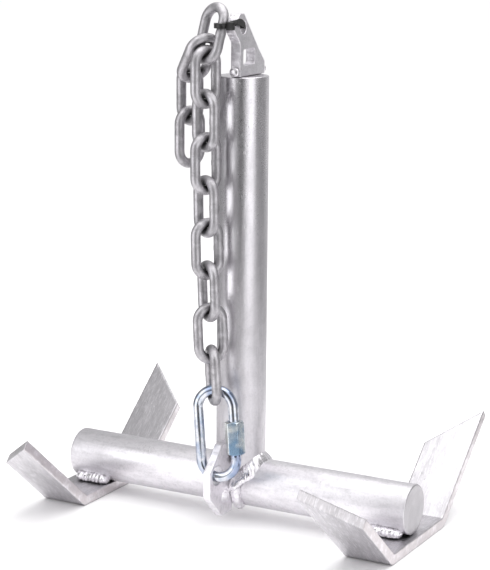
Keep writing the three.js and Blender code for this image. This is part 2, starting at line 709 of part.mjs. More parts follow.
addHanging('tie_link', linkGeometry, chainSteel(), tieLink);
strand.forEach((place, i) => {
  addHanging(`chain_link_${i + 1}`, linkGeometry, chainSteel(), place);
});
placeTail(tieLink).forEach((place, i) => {
  addHanging(`tail_link_${i + 1}`, linkGeometry, chainSteel(), place);
});
addHanging('quick_link', makeQuickLink(), zincPlate(), quickPlace);
addHanging('sleeve_nut', makeSleeveNut(), zincPlate(), quickPlace);

add(anchor, 'cable_tie_strap', makeTieStrap(legCentre), blackNylon());
const tieHead = add(
  anchor,
  'cable_tie_head',
  new THREE.BoxGeometry(TIE_HEAD.length, TIE_HEAD.thickness, TIE_HEAD.height),
  blackNylon(),
);
tieHead.position.copy(headPlace.middle);
tieHead.rotation.z = headPlace.angle;

export default anchor;
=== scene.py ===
"""Looks for a welded river anchor: a shank on a crossbar, bent flukes, a chain and a quick link.

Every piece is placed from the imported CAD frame. Lengths are in metres, in the row's own frame.
"""

import json
import math

import bmesh
import bpy
import numpy as np
from mathutils import Matrix, Vector, noise

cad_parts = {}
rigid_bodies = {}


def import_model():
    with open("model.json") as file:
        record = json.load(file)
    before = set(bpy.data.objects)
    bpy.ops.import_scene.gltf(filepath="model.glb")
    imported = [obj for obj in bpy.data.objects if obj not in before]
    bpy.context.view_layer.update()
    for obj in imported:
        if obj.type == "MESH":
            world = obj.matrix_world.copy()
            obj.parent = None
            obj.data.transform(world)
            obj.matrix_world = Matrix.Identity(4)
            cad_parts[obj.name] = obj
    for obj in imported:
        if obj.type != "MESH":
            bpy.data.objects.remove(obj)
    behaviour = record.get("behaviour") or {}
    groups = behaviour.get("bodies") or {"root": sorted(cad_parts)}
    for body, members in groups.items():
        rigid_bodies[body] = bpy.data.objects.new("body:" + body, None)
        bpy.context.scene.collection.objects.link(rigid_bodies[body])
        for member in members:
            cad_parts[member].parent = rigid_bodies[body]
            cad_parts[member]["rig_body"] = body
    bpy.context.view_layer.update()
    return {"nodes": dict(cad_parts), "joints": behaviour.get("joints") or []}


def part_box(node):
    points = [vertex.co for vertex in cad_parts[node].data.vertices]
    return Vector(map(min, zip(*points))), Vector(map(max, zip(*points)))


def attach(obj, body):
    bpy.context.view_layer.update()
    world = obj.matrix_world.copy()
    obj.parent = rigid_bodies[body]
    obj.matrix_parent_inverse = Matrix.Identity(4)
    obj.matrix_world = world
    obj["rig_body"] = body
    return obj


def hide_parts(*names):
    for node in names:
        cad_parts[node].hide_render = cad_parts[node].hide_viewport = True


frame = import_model()

MM = 0.001

# ---------------------------------------------------------------- driving dimensions

BAR_SIDES = 120
BAR_RING_STEP = 1.3 * MM
BAR_EDGE = 0.9 * MM  # rounding of a bar's end
BAR_EDGE_STEPS = 4
FOOT_FIT = 0.98  # share of a foot point's distance off the crossbar's axis at which it is fitted
ZINC_WAVE = 0.055 * MM  # height of the slow waves in the zinc
ZINC_GRAIN = 0.018 * MM  # height of its fine grain

FLUKE_VOXEL = 0.75 * MM
FLUKE_SMOOTHING = 2
FLUKE_WAVE = 0.05 * MM
FLUKE_GRAIN = 0.02 * MM
SHEAR_BURR = 0.22 * MM  # height of the marks that shearing left on a fluke's edges
SHEAR_PULL = 0.16 * MM  # how far those edges are pulled in
FLUKE_SKIN = 0.07 * MM  # how far a fluke's faces stay inside the CAD solid

PLATE_VOXEL = 0.5 * MM
PLATE_SMOOTHING = 3
PLATE_WAVE = 0.05 * MM
PLATE_SKIN = 0.05 * MM
EYE_PLATE_CUT = 0.45 * MM  # height of the cutting lines on the eye plate's edges
CROWN_PLATE_CUT = 0.50 * MM

STRAP_BEVEL = 0.3 * MM
HEAD_BEVEL = 0.28 * MM
HEAD_RIM = 1.0 * MM  # the tie lock's sunk window: its rim, its depth and the ridge in it
HEAD_WINDOW_DEPTH = 0.7 * MM
HEAD_RIDGE_RIM = 0.5 * MM
HEAD_RIDGE_HEIGHT = 0.3 * MM

BEAD_SIDES = 32
BEAD_STEP = 0.45 * MM
BEAD_INSET = 0.3 * MM
RIPPLE_PITCH = 3.2 * MM
END_TAPER = 0.12  # thickness of a bead's end, as a share of its middle's

# The fills and the foot bead's rise and spread are shares of the CAD weld's own half thickness.
FOOT_BEAD_RISE = 0.70
FOOT_BEAD_SPREAD = 1.65
FOOT_BEAD_OUT = 0.75  # way that the foot's bead faces: this much out and the next much up
FOOT_BEAD_UP = 0.66
FOOT_PATH_STRETCH = 1.25  # about how much longer the bead's path is than a level ring
FOOT_PATH_SOFTNESS = 0.16  # rounding of the path's two low turns
FLUKE_BEAD_FILL = 1.35
CROWN_UPPER_FILL = 1.45
CROWN_LOWER_FILL = 1.3
CROWN_LOWER_ANGLES = (-66, 14)  # degrees round the crossbar, from level with its front
CROWN_BEAD_INWARD = 0.9  # distance from the crown plate's middle, as a share of the CAD weld's
EYE_BEAD_FILL = 0.92

# Where each kind of piece starts in the noise that shapes it.
FOOT_SEED = 3.1
FLUKE_SEED = 5.0
CROWN_LOWER_SEED = 11.0
CROWN_UPPER_SEED = 14.0
EYE_SEED = 17.0
LINK_SEED = 20.0

AXIS_X = 0
AXIS_Z = 2

LINK_SIDES = 28
LINK_STEP = 1.0 * MM
SEAM_HALF_WIDTH = 1.5 * MM
SEAM_HEIGHT = 0.32 * MM
WIRE_CLEARANCE = 0.13 * MM  # how much smaller the visible wires' radius is than the CAD wires'

QUICK_WIRE = 8.0 * MM
MOUTH_LEVEL = -9.0 * MM  # a height inside the quick link's open mouth
THREAD_PITCH = 1.25 * MM
THREAD_DEPTH = 0.55 * MM
THREAD_ABOVE = 9.0 * MM  # length of thread over the mouth, which the nut travels on
THREAD_BELOW = 3.5 * MM  # and under it, inside the closed nut
THREAD_CHAMFER = 0.6 * MM
THREAD_CHAMFER_LENGTH = 0.8 * MM

NUT_SIDES = 96
NUT_BODY_STEPS = 24
NUT_BORE_STEPS = 64
NUT_EDGE = 1.1 * MM  # height of the turned edge at each end of the nut
NUT_EDGE_STEPS = 5
NUT_BORE_CLEARANCE = 0.28 * MM
NUT_BORE_INSET = 0.3 * MM
NUT_LEAD_IN = 0.5 * MM  # how much wider the bore is at the nut's ends
NUT_CORNER = 0.985  # how far a worn corner reaches, as a share of the sharp one
NUT_FACE = 0.93  # radii of the flat end and of the turned edge, as shares of the radius to the flats
NUT_TURNED = 0.95

# The camera: azimuth 0 looks along +Y, elevation is above the horizon.
CAMERA_AZIMUTH = math.radians(28.72)
CAMERA_ELEVATION = math.radians(12.04)
CAMERA_ROLL = math.radians(0.40)
CAMERA_DISTANCE = 1.38266
CAMERA_TARGET = Vector((0, 0, 0.18088))
CAMERA_LENS = 115.3  # mm, on a sensor whose long side is 36 mm
CAMERA_SHIFT_X = 0.0052

# The studio: a drum of panels that reflections see. A panel is its angle from the camera's
# direction and its half width, in degrees, and how much brighter it is than the drum.
DRUM_RADIUS = 0.42
DRUM_FOOT = 0.001
DRUM_HEIGHT = 0.62
DRUM_SIDES = 240
DRUM_BASE = 0.34
DRUM_PANELS = [(-61, 22, 1.65), (34, 20, 1.25), (-8, 12, -0.26), (160, 40, 0.35)]
CEILING_PLACE = (0.15, 0.0, 1.0)
CEILING_SIZE = (1.1, 1.2)
CEILING_WATTS = 6.6
FLOOR_REACH = 14
FLOOR_COLOUR = (0.93, 0.925, 0.93, 1)
FLOOR_LIGHT = 1.14
ROOM_IN_METAL = 0.66

CORNER_REACH = 4 * MM  # how near another surface must be to paint shade into a corner
CORNER_SAMPLES = 8

STRAND_LINKS = [f"chain_link_{k}" for k in range(1, 9)]
TAIL_LINKS = [f"tail_link_{k}" for k in range(1, 4)]
LINKS = ["tie_link", *STRAND_LINKS, *TAIL_LINKS]


# ---------------------------------------------------------------- material nodes


class Look:
    """A material with one Principled shader, and short calls for the nodes that feed it."""

    def __init__(self, name, metallic, roughness):
        self.material = bpy.data.materials.new(name)
        self.material.use_nodes = True
        self.tree = self.material.node_tree
        self.shader = self.tree.nodes["Principled BSDF"]
        self.shader.inputs["Metallic"].default_value = metallic
        self.shader.inputs["Roughness"].default_value = roughness
        coordinates = self.tree.nodes.new("ShaderNodeTexCoord").outputs
        self.place = coordinates["Object"]
        self.facing = coordinates["Normal"]

    def link(self, value, socket):
        if isinstance(value, bpy.types.NodeSocket):
            self.tree.links.new(value, socket)
        else:
            socket.default_value = value

    def stretched(self, scale):
        """Object coordinates, multiplied by scale on each axis."""
        node = self.tree.nodes.new("ShaderNodeMapping")
        node.inputs["Scale"].default_value = scale
        self.link(self.place, node.inputs["Vector"])
        return node.outputs["Vector"]

    def axis(self, vector, name):
        node = self.tree.nodes.new("ShaderNodeSeparateXYZ")
        self.link(vector, node.inputs[0])
        return node.outputs[name]

    def openness(self):
        """1 on an open surface, and less in a corner or close beside another piece. Colours use it to
        paint shade.
        """
        node = self.tree.nodes.new("ShaderNodeAmbientOcclusion")
        node.inputs["Distance"].default_value = CORNER_REACH
        node.samples = CORNER_SAMPLES
        return node.outputs["AO"]

    def noise(self, per_metre, detail=4.0, roughness=0.55, stretch=(1, 1, 1), warp=0.0):
        node = self.tree.nodes.new("ShaderNodeTexNoise")
        node.inputs["Scale"].default_value = per_metre
        node.inputs["Detail"].default_value = detail
        node.inputs["Roughness"].default_value = roughness
        node.inputs["Distortion"].default_value = warp
        self.link(self.stretched(stretch), node.inputs["Vector"])
        return node.outputs["Fac"]

    def cells(self, per_metre):
        node = self.tree.nodes.new("ShaderNodeTexVoronoi")
        node.inputs["Scale"].default_value = per_metre
        self.link(self.place, node.inputs["Vector"])
        return node.outputs["Color"]

    def spread(self, value, low, high, to_low=0.0, to_high=1.0):
        """value from low..high, mapped to to_low..to_high and held there."""
        node = self.tree.nodes.new("ShaderNodeMapRange")
        self.link(value, node.inputs["Value"])
        for name, number in (
            ("From Min", low),
            ("From Max", high),
            ("To Min", to_low),
            ("To Max", to_high),
        ):
            node.inputs[name].default_value = number
        return node.outputs["Result"]

    def maths(self, operation, a, b):
        node = self.tree.nodes.new("ShaderNodeMath")
        node.operation = operation
        self.link(a, node.inputs[0])
        self.link(b, node.inputs[1])
        return node.outputs["Value"]

    def mix(self, share, a, b):
        """Colour a where share is 0, and b where it is 1."""
        node = self.tree.nodes.new("ShaderNodeMix")
        node.data_type = "RGBA"
        self.link(share, node.inputs["Factor"])
        colour_a, colour_b = [socket for socket in node.inputs if socket.type == "RGBA"]
        self.link(a, colour_a)
        self.link(b, colour_b)
        return next(socket for socket in node.outputs if socket.type == "RGBA")

    def bump(self, height, depth, over=None):
        node = self.tree.nodes.new("ShaderNodeBump")
        node.inputs["Strength"].default_value = 1.0
        node.inputs["Distance"].default_value = depth
        self.link(height, node.inputs["Height"])
        if over is not None:
            self.link(over, node.inputs["Normal"])
        return node.outputs["Normal"]

    def finish(self, colour, roughness, normal):
        self.link(colour, self.shader.inputs["Base Color"])
        self.link(roughness, self.shader.inputs["Roughness"])
        self.link(normal, self.shader.inputs["Normal"])
        return self.material


def grey(value):
    return (value, value, value, 1)


def zinc_grey(value):
    """The grey of a zinc coat, a little towards violet."""
    return (value, value * 0.975, value * 1.015, 1)


def galvanised(
    name, bright, dull, streak, rough=(0.30, 0.50), grain=0.05, flecks=0.0, x_faces=None, foot_dulls=False
):
    """Hot-dip zinc: streaks along the bar, light flecks, faint spangles, fine grain, a few pits and
    painted shade in corners.

    x_faces is the colour of faces square to X, such as sheared edges and sawn ends.
    """
    look = Look(name, 1.0, 0.4)
    streaks = look.noise(60, 5, 0.6, streak, 0.4)
    clouds = look.noise(28, 3, 0.5)
    runs = look.noise(260, 4, 0.6, streak)
    mottle = look.noise(480, 4, 0.65, warp=0.8)
    spangle = look.cells(150)
    fine = look.noise(1300, 3, 0.6)
    pits = look.noise(420, 2, 0.5)
    streak_share = look.maths("MULTIPLY", streaks, 0.6)
    share = look.maths("ADD", streak_share, look.maths("MULTIPLY", clouds, 0.4))
    colour = look.mix(look.spread(share, 0.38, 0.60), zinc_grey(dull), zinc_grey(bright))
    if x_faces is not None:
        square = look.maths("ABSOLUTE", look.axis(look.facing, "X"), 0)
        colour = look.mix(look.spread(square, 0.60, 0.90), colour, x_faces)
    colour = look.mix(look.spread(runs, 0.50, 0.72, 0, 0.35), colour, zinc_grey(0.42))
    colour = look.mix(look.spread(mottle, 0.48, 0.68, 0, 0.30), colour, zinc_grey(0.46))
    colour = look.mix(look.spread(spangle, 0, 1, 0, 0.14), colour, zinc_grey(0.95))
    colour = look.mix(look.spread(pits, 0.72, 0.80, 0, 0.3), colour, zinc_grey(0.28))
    if flecks:
        flakes = look.noise(1100, 4, 0.65, streak)
        colour = look.mix(look.spread(flakes, 0.50, 0.64, 0, flecks), colour, zinc_grey(0.98))
    # painted shade: the colour darkens to grey in corners, at the toes of welds and close beside other
    # pieces
    colour = look.mix(look.spread(look.openness(), 0.15, 0.65), zinc_grey(0.42), colour)
    roughness = look.spread(share, 0.35, 0.65, rough[1], rough[0])
    roughness = look.maths("ADD", roughness, look.spread(fine, 0.3, 0.7, -0.05, 0.05))
    if foot_dulls:
        height = look.axis(look.place, "Z")
        roughness = look.maths("ADD", roughness, look.spread(height, 0.06, 0.26, 0.20, 0.0))
    normal = look.bump(fine, grain * MM)
    normal = look.bump(streaks, 0.25 * MM, normal)
    normal = look.bump(runs, 0.05 * MM, normal)
    normal = look.bump(look.spread(pits, 0.66, 0.78, 1, 0), 0.12 * MM, normal)
    return look.finish(colour, roughness, normal)


def chain_steel():
    """Satin chain: grey, darker in patches, with painted shade where links meet and fine scale marks."""
    look = Look("chain_steel", 1.0, 0.4)
    patches = look.noise(120, 5, 0.6, warp=0.6)
    fine = look.noise(1500, 4, 0.65)
    scratches = look.noise(500, 3, 0.6, (1, 1, 0.15))
    colour = look.mix(look.spread(patches, 0.35, 0.65), zinc_grey(0.36), zinc_grey(0.58))
    colour = look.mix(look.spread(fine, 0.55, 0.75, 0, 0.4), colour, zinc_grey(0.72))
    # painted shade: the colour darkens to near black where links meet or lie close together
    colour = look.mix(look.spread(look.openness(), 0.25, 0.80), zinc_grey(0.12), colour)
    roughness = look.spread(patches, 0.3, 0.7, 0.52, 0.42)
    normal = look.bump(fine, 0.05 * MM)
    normal = look.bump(scratches, 0.06 * MM, normal)
    return look.finish(colour, roughness, normal)


def zinc_plate(name, roughness, blue, pale, mottled, painted_reflection_side=False):
    """Bright zinc plate with a blue cast that comes and goes. The side switch paints the -X faces pale: a
    painted reflection.
    """
    look = Look(name, 1.0, roughness)
    cast = look.noise(70, 2, 0.5)
    blotches = look.noise(240, 4, 0.6)
    marks = look.noise(900, 4, 0.6, (1, 1, 0.25))
    colour = look.mix(look.spread(cast, 0.42, 0.60), blue, pale)
    colour = look.mix(look.spread(blotches, 0.40, 0.66, 0, mottled), colour, (0.24, 0.34, 0.46, 1))
    # painted reflection: the -X faces take the pale colour
    if painted_reflection_side:
        colour = look.mix(look.spread(look.axis(look.facing, "X"), -0.15, 0.15), pale, colour)
    colour = look.mix(look.spread(marks, 0.58, 0.78, 0, 0.2), colour, zinc_grey(0.45))
    rough = look.spread(marks, 0.3, 0.75, roughness - 0.02, roughness + 0.08)
    return look.finish(colour, rough, look.bump(marks, 0.015 * MM))


def black_nylon():
    """Injection-moulded nylon with a soft sheen and a fine skin."""
    look = Look("black_nylon", 0.0, 0.36)
    skin = look.noise(1800, 3, 0.6)
    wear = look.noise(260, 4, 0.6)
    colour = look.mix(look.spread(wear, 0.5, 0.8), grey(0.010), grey(0.045))
    return look.finish(colour, look.spread(wear, 0.3, 0.7, 0.32, 0.5), look.bump(skin, 0.04 * MM))


# ---------------------------------------------------------------- making pieces


def make_piece(name, mesh, material, replaced):
    """A smooth-shaded piece that stands for CAD nodes and rides on the first one's body."""
    piece = bpy.data.objects.new(name, mesh)
    bpy.context.scene.collection.objects.link(piece)
    mesh.materials.clear()
    mesh.materials.append(material)
    mesh.polygons.foreach_set("use_smooth", [True] * len(mesh.polygons))
    node = frame["nodes"][replaced[0]]
    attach(piece, node["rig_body"])
    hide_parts(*replaced)
    return piece


def mesh_from_rings(name, rings, closed, start=None, end=None):
    """Skins rings of points that all have the same count. An open run gets a point at each end."""
    sides = len(rings[0])
    points = [tuple(p) for ring in rings for p in ring]
    faces = []
    for i in range(len(rings) if closed else len(rings) - 1):
        here = i * sides
        there = (i + 1) % len(rings) * sides
        for j in range(sides):
            k = (j + 1) % sides
            faces.append((here + j, here + k, there + k, there + j))
    if not closed:
        last = (len(rings) - 1) * sides
        points += [tuple(start), tuple(end)]
        for j in range(sides):
            k = (j + 1) % sides
            faces.append((len(points) - 2, k, j))
            faces.append((len(points) - 1, last + j, last + k))
    mesh = bpy.data.meshes.new(name)
    mesh.from_pydata(points, [], faces)
    recalculate(mesh)
    return mesh


def recalculate(mesh):
    """Turns every face outward."""
    shape = bmesh.new()
    shape.from_mesh(mesh)
    bmesh.ops.recalc_face_normals(shape, faces=shape.faces)
    shape.to_mesh(mesh)
    shape.free()


def zinc_height(point, along):
    """Height of the zinc's waves and grain. The waves are drawn out along one direction."""
    drawn = point - along * point.dot(along) * 0.8
    return ZINC_WAVE * noise.noise(drawn * 130) + ZINC_GRAIN * noise.noise(point * 600)


# ---------------------------------------------------------------- round bars


def end_profile(radius):
    """(radius, distance from the bar's end) pairs from the middle of an end to the bar's side."""
    pairs = [(radius * share, 0) for share in (0.25, 0.5, 0.72, 0.88)]
    for step in range(BAR_EDGE_STEPS + 1):
        angle = math.pi / 2 * step / BAR_EDGE_STEPS
        pairs.append((radius - BAR_EDGE * (1 - math.sin(angle)), BAR_EDGE * (1 - math.cos(angle))))
    return pairs


def bar_rings(radius, length, to_world, along, foot_lift=None):
    """Rings of a bar from its foot to its top. foot_lift raises the foot by an amount per angle."""
    foot = end_profile(radius)
    steps = round((length - 2 * BAR_EDGE) / BAR_RING_STEP)
    side = [(radius, BAR_EDGE + (length - 2 * BAR_EDGE) * k / steps) for k in range(1, steps)]
    top = [(r, length - z) for r, z in reversed(foot)]
    rings = []
    for r, z in [*foot, *side, *top]:
        ring = []
        for j in range(BAR_SIDES):
            angle = 2 * math.pi * j / BAR_SIDES
            lift = foot_lift(angle) * (1 - z / length) if foot_lift else 0
            point = to_world(r * math.cos(angle), r * math.sin(angle), z + lift)
            shift = zinc_height(point, along) - ZINC_WAVE / 2
            outward = point - to_world(0, 0, z + lift)
            ring.append(point + outward.normalized() * shift)
        rings.append(ring)
    return rings


def crossbar_size():
    """The crossbar's radius, and the height of its middle."""
    low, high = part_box("crossbar")
    return (high.z - low.z) / 2, (high.z + low.z) / 2


def make_crossbar():
    low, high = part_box("crossbar")
    radius, height = crossbar_size()

    def to_world(a, b, c):
        return Vector((low.x + c, a, height + b))

    rings = bar_rings(radius, high.x - low.x, to_world, Vector((1, 0, 0)))
    start = to_world(0, 0, 0)
    end = to_world(0, 0, high.x - low.x)
    mesh = mesh_from_rings("crossbar_finish", rings, False, start, end)
    return make_piece("crossbar_finish", mesh, bar_zinc_x, ["crossbar"])


def make_shank():
    low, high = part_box("shank")
    radius = (high.x - low.x) / 2
    _, seat = crossbar_size()
    foot = low.z

    def to_world(a, b, c):
        return Vector((a, b, foot + c))

    def foot_lift(angle):
        across = radius * math.sin(angle) * FOOT_FIT
        return seat + math.sqrt(radius**2 - across**2) - foot

    rings = bar_rings(radius, high.z - foot, to_world, Vector((0, 0, 1)), foot_lift)
    start = to_world(0, 0, seat + radius - foot)
    end = to_world(0, 0, high.z - foot)
    mesh = mesh_from_rings("shank_finish", rings, False, start, end)
    return make_piece("shank_finish", mesh, bar_zinc_z, ["shank"])


# ---------------------------------------------------------------- flukes and plates


def remeshed(node, voxel, smoothing):
    """A copy of a CAD node's mesh in even small faces, with its edges worn round."""
    source = frame["nodes"][node]
    work = bpy.data.objects.new("work", source.data.copy())
    bpy.context.scene.collection.objects.link(work)
    shape = bmesh.new()
    shape.from_mesh(work.data)
    bmesh.ops.remove_doubles(shape, verts=shape.verts, dist=1e-6)
    shape.to_mesh(work.data)
    shape.free()
    remesh = work.modifiers.new("remesh", "REMESH")
    remesh.mode = "VOXEL"
    remesh.voxel_size = voxel
    smooth = work.modifiers.new("smooth", "SMOOTH")
    smooth.factor = 0.5
    smooth.iterations = smoothing
    mesh = bpy.data.meshes.new_from_object(work.evaluated_get(bpy.context.evaluated_depsgraph_get()))
    bpy.data.objects.remove(work)
    return mesh


def roughen(mesh, height_at):
    """Moves each vertex along its normal by height_at(point, normal)."""
    mesh.update()
    moved = [v.co + v.normal * height_at(v.co, v.normal) for v in mesh.vertices]
    mesh.vertices.foreach_set("co", np.array(moved, np.float32).ravel())
    mesh.update()


def make_fluke(node):
    """Sheared flat bar: the faces wave a little, and the sheared edges carry marks across."""

    def height(point, normal):
        wave = FLUKE_WAVE * noise.noise(point * 110)
        grain = FLUKE_GRAIN * noise.noise(point * 520)
        burr = SHEAR_BURR * noise.noise(Vector((point.x * 60, point.y * 260, point.z * 260)))
        sheared = max(0, abs(normal.x) - 0.3)
        return wave + grain + sheared * (burr - SHEAR_PULL) - FLUKE_SKIN

    mesh = remeshed(node, FLUKE_VOXEL, FLUKE_SMOOTHING)
    roughen(mesh, height)
    return make_piece(f"{node}_finish", mesh, fluke_zinc, [node])


def make_plate(node, cut):
    """Torch-cut plate: its edges carry lines through its thickness, under thick zinc."""

    def height(point, normal):
        flat = PLATE_WAVE * noise.noise(point * 160)
        lines = noise.noise(Vector((point.x * 40, point.y * 520, point.z * 520)))
        lumps = noise.noise(point * 190)
        edge = max(0, 1 - abs(normal.x) * 1.4)
        return flat + edge * cut * (0.5 * lines + 0.5 * lumps) - PLATE_SKIN

    mesh = remeshed(node, PLATE_VOXEL, PLATE_SMOOTHING)
    roughen(mesh, height)
    return make_piece(f"{node}_finish", mesh, plate_zinc, [node])


# ---------------------------------------------------------------- welds


def weld_swell(phase, angle, point, seed):
    """How much a bead swells: soft ripples that trail round its sides, lumps and pimples."""
    wander = 0.5 * noise.noise(point * 90 + Vector((seed, 0, 0)))
    ripple = abs(math.sin(math.pi * (phase + wander - 0.35 * math.cos(angle)))) - 0.6
    lumps = noise.noise(point * 150 + Vector((0, seed, 0)))
    pimples = noise.noise(point * 430 + Vector((0, 0, seed)))
    return 0.94 + 0.05 * ripple + 0.13 * lumps + 0.08 * pimples


def make_bead(node, path, side, height, seed, closed=False):
    """A weld bead along path. side(point) and height(point) are its half-axes as vectors."""
    total = sum((b - a).length for a, b in zip(path, path[1:]))
    ripples = max(1, round(total / RIPPLE_PITCH))
    rings = []
    run = 0.0
    for i, centre in enumerate(path):
        if i:
            run += (centre - path[i - 1]).length
        to_end = min(run, total - run)
        blunt = max(height(centre).length, 1e-5)
        taper = 1 if closed else math.sqrt(max(0.0, 1 - max(0.0, 1 - to_end / blunt) ** 2))
        ring = []
        for j in range(BEAD_SIDES):
            angle = 2 * math.pi * j / BEAD_SIDES
            arm = height(centre) * math.cos(angle) + side(centre) * math.sin(angle)
            swell = weld_swell(ripples * run / total, angle, centre + arm, seed) * max(taper, END_TAPER)
            ring.append(centre + arm * swell)
        rings.append(ring)
    mesh = mesh_from_rings(f"{node}_finish", rings, closed, path[0], path[-1])
    return make_piece(f"{node}_finish", mesh, weld_zinc, [node])


def straight_path(start, end, inset):
    """Points from start to end, kept inset from both."""
    reach = end - start
    inset = min(inset, reach.length / 3)
    first = start + reach.normalized() * inset
    last = end - reach.normalized() * inset
    steps = max(8, round((last - first).length / BEAD_STEP))
    return [first.lerp(last, k / steps) for k in range(steps + 1)]


def make_box_bead(node, axis, seed, fill):
    """A straight bead along one axis of a CAD node's box. fill is its width as a share of the box's."""
    low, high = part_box(node)
    middle = (low + high) / 2
    half = (high - low) / 2
    run = Vector([1.0 if i == axis else 0.0 for i in range(3)])
    others = [i for i in range(3) if i != axis]
    side = Vector([half[i] * fill if i == others[0] else 0.0 for i in range(3)])
    height = Vector([half[i] * fill if i == others[1] else 0.0 for i in range(3)])
    path = straight_path(middle - run * half[axis], middle + run * half[axis], BEAD_INSET)
    return make_bead(node, path, lambda _: side, lambda _: height, seed)


def make_foot_weld():
    """The bead round the shank's foot, down over the crossbar's shoulders."""
    node = "shank_foot_weld"
    low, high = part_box(node)
    radius, seat = crossbar_size()
    bead = (high.x - low.x) / 2 - radius
    count = round(2 * math.pi * radius * FOOT_PATH_STRETCH / BEAD_STEP)

    def on_saddle(angle):
        lift = math.hypot(math.cos(angle), FOOT_PATH_SOFTNESS)
        return Vector((radius * math.cos(angle), radius * math.sin(angle), seat + radius * lift))

    path = [on_saddle(2 * math.pi * k / count) for k in range(count)]

    def outward(centre):
        flat = Vector((centre.x, centre.y, 0)).normalized()
        way = flat * FOOT_BEAD_OUT + Vector((0, 0, FOOT_BEAD_UP))
        return way.normalized() * bead * FOOT_BEAD_RISE

    def along_bar(centre):
        flat = Vector((centre.x, centre.y, 0)).normalized()
        way = flat * FOOT_BEAD_UP - Vector((0, 0, FOOT_BEAD_OUT))
        return way.normalized() * bead * FOOT_BEAD_SPREAD

    return make_bead(node, path, along_bar, outward, FOOT_SEED, closed=True)


def make_crown_lower_weld(node, seed):
    """The bead between the crown plate and the crossbar's front and underside."""
    low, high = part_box(node)
    radius, seat = crossbar_size()
    x = (low.x + high.x) / 2 * CROWN_BEAD_INWARD
    first, last = (math.radians(angle) for angle in CROWN_LOWER_ANGLES)
    steps = round(radius * (last - first) / BEAD_STEP)
    path = []
    for k in range(steps + 1):
        angle = first + (last - first) * k / steps
        path.append(Vector((x, -radius * math.cos(angle), seat + radius * math.sin(angle))))
    half = (high.x - low.x) / 2 * CROWN_LOWER_FILL

    def outward(centre):
        return Vector((0, centre.y, centre.z - seat)).normalized() * half

    return make_bead(node, path, lambda _: Vector((half, 0, 0)), outward, seed)


# ---------------------------------------------------------------- links


def node_points(node):
    return np.array([v.co for v in frame["nodes"][node].data.vertices], float)


def placed_along(points, axes):
    """The middle of the points, the axes, and the points' half-size along each axis."""
    middle = Vector((0, 0, 0))
    halves = []
    for axis in axes:
        reach = points @ np.array(axis)
        middle += axis * float(reach.max() + reach.min()) / 2
        halves.append(float(reach.max() - reach.min()) / 2)
    return middle, axes, halves


def link_frame(node):
    """A flat loop's middle, its width, through and up directions, and its half-sizes."""
    points = node_points(node)
    _, axes = np.linalg.eigh(np.cov((points - points.mean(0)).T))
    through, width, up = (Vector(axes[:, k]) for k in range(3))
    up = up if up.z > 0 else -up
    width = width if width.x + width.y > 0 else -width
    return placed_along(points, (width, up.cross(width), up))


def loop_stations(end_radius, half_leg, first, last):
    """(x, z, outward x, outward z, run) along a loop, from the middle of its +x leg upward."""
    arc = math.pi * end_radius
    total = 4 * half_leg + 2 * arc
    steps = round((last - first) * total / LINK_STEP)
    stations = []
    for k in range(steps + 1):
        run = ((first + (last - first) * k / steps) % 1.0) * total
        if run < half_leg:
            stations.append((end_radius, run, 1, 0, run))
        elif run < half_leg + arc:
            angle = (run - half_leg) / end_radius
            c, s = math.cos(angle), math.sin(angle)
            stations.append((end_radius * c, half_leg + end_radius * s, c, s, run))
        elif run < 3 * half_leg + arc:
            stations.append((-end_radius, 2 * half_leg + arc - run, -1, 0, run))
        elif run < 3 * half_leg + 2 * arc:
            angle = (run - 3 * half_leg - arc) / end_radius
            c, s = math.cos(angle), math.sin(angle)
            stations.append((-end_radius * c, -half_leg - end_radius * s, -c, -s, run))
        else:
            stations.append((end_radius, run - total, 1, 0, run - total))
    return stations


def loop_mesh(name, placed, stations, radius_at, closed):
    """Sweeps a round section along loop stations. radius_at takes the run, the angle and a point."""
    middle, (width, through, up), _ = placed
    rings = []
    for x, z, out_x, out_z, run in stations:
        centre = middle + width * x + up * z
        outward = width * out_x + up * out_z
        ring = []
        for j in range(LINK_SIDES):
            angle = 2 * math.pi * j / LINK_SIDES
            arm = outward * math.cos(angle) + through * math.sin(angle)
            ring.append(centre + arm * radius_at(run, angle, centre + arm))
        rings.append(ring)
    if closed:
        return mesh_from_rings(name, rings[:-1], True)
    first = middle + width * stations[0][0] + up * stations[0][1]
    last = middle + width * stations[-1][0] + up * stations[-1][1]
    return mesh_from_rings(name, rings, False, first, last)


def make_link(node, seed):
    """A chain link, with the upset ring of its butt weld half way along one leg."""
    placed = link_frame(node)
    wire = placed[2][1]
    end_radius = placed[2][0] - wire
    half_leg = placed[2][2] - wire - end_radius

    def radius_at(run, angle, point):
        seam = math.exp(-((run / SEAM_HALF_WIDTH) ** 2))
        groove = 0.55 * math.exp(-((run / (0.25 * SEAM_HALF_WIDTH)) ** 2))
        flash = 1 + 0.5 * noise.noise(Vector((math.cos(angle), math.sin(angle), seed)))
        scale = 0.03 * MM * noise.noise(point * 420)
        return wire - WIRE_CLEARANCE + SEAM_HEIGHT * (seam - groove) * flash + scale

    stations = loop_stations(end_radius, half_leg, 0, 1)
    mesh = loop_mesh(f"{node}_finish", placed, stations, radius_at, True)
    return make_piece(f"{node}_finish", mesh, chain, [node])


def quick_link_frame():
    """The quick link's place. Its open mouth unbalances the points, so up comes from its joint."""
    middle, (_, through, _), _ = link_frame("quick_link")
    joint = next(j for j in frame["joints"] if j["child"] == "sleeve_nut")
    up = Vector(joint["axis"]).normalized()
    width = through.cross(up).normalized()
    low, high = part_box("sleeve_nut")
    if ((low + high) / 2 - middle).dot(width) < 0:
        width = -width
    return placed_along(node_points("quick_link"), (width, up.cross(width), up))


